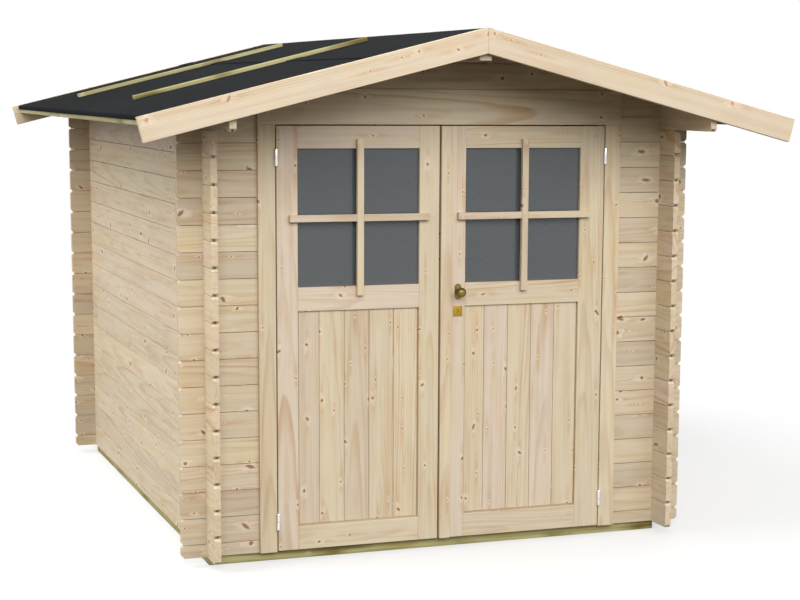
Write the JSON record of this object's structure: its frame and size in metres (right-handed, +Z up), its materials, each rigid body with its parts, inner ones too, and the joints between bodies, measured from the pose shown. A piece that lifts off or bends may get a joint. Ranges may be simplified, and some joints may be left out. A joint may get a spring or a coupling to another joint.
{
  "type": "garden shed",
  "caption": "Log-cabin style garden shed of interlocking spruce boards with crossed corners, low felted gable roof with barge boards, and a part-glazed double door that opens outward",
  "frame": {"origin": "On the ground, at the middle of the roof's length and width.", "axes": "+X to the right along the front wall, +Y from the front wall to the back wall, +Z up."},
  "size_m": [2.8894, 3.536, 2.2857],
  "materials": {
    "spruce": "planed, untreated spruce",
    "treated_pine": "sawn, green pressure-treated pine",
    "roofing_felt": "matt anthracite bitumen felt",
    "glass": "clear float glass",
    "brass": "dull brass",
    "zinc_steel": "zinc-plated steel"
  },
  "bodies": {
    "shell": {"end_base_beams": "treated_pine", "side_base_beams": "treated_pine", "front_wall_left": "spruce", "front_wall_right": "spruce", "front_gable": "spruce", "back_wall": "spruce", "back_gable": "spruce", "left_wall": "spruce", "right_wall": "spruce", "eave_logs": "spruce", "ridge_purlin": "spruce", "roof_boards_left": "spruce", "roof_boards_right": "spruce", "roof_felt_left": "roofing_felt", "roof_felt_right": "roofing_felt", "roof_felt_ridge": "roofing_felt", "roof_battens_left": "treated_pine", "roof_battens_right": "treated_pine", "eave_laths": "treated_pine", "front_barge_left": "spruce", "front_barge_right": "spruce", "back_barge_left": "spruce", "back_barge_right": "spruce", "door_jambs": "spruce", "door_head": "spruce", "door_stops": "spruce", "door_casings": "spruce", "door_head_board": "spruce", "frame_hinges": "zinc_steel"},
    "left_leaf": {"left_leaf_stiles": "spruce", "left_leaf_rails": "spruce", "left_leaf_panel": "spruce", "left_leaf_glass": "glass", "left_leaf_bars": "spruce", "left_leaf_hinges": "zinc_steel"},
    "right_leaf": {"right_leaf_stiles": "spruce", "right_leaf_rails": "spruce", "right_leaf_panel": "spruce", "right_leaf_glass": "glass", "right_leaf_bars": "spruce", "right_leaf_hinges": "zinc_steel", "cover_strip": "spruce", "rosette": "brass", "door_knob": "brass", "lock_plate": "brass"}
  },
  "joints": [
    {"name": "left_leaf_hinge", "type": "hinge", "parent": "shell", "child": "left_leaf", "pos_m": [-0.7635, -1.2858, 1], "axis": [0, 0, -1], "range_deg": [0, 110]},
    {"name": "right_leaf_hinge", "type": "hinge", "parent": "shell", "child": "right_leaf", "pos_m": [0.7635, -1.2858, 1], "axis": [0, 0, 1], "range_deg": [0, 110]}
  ]
}
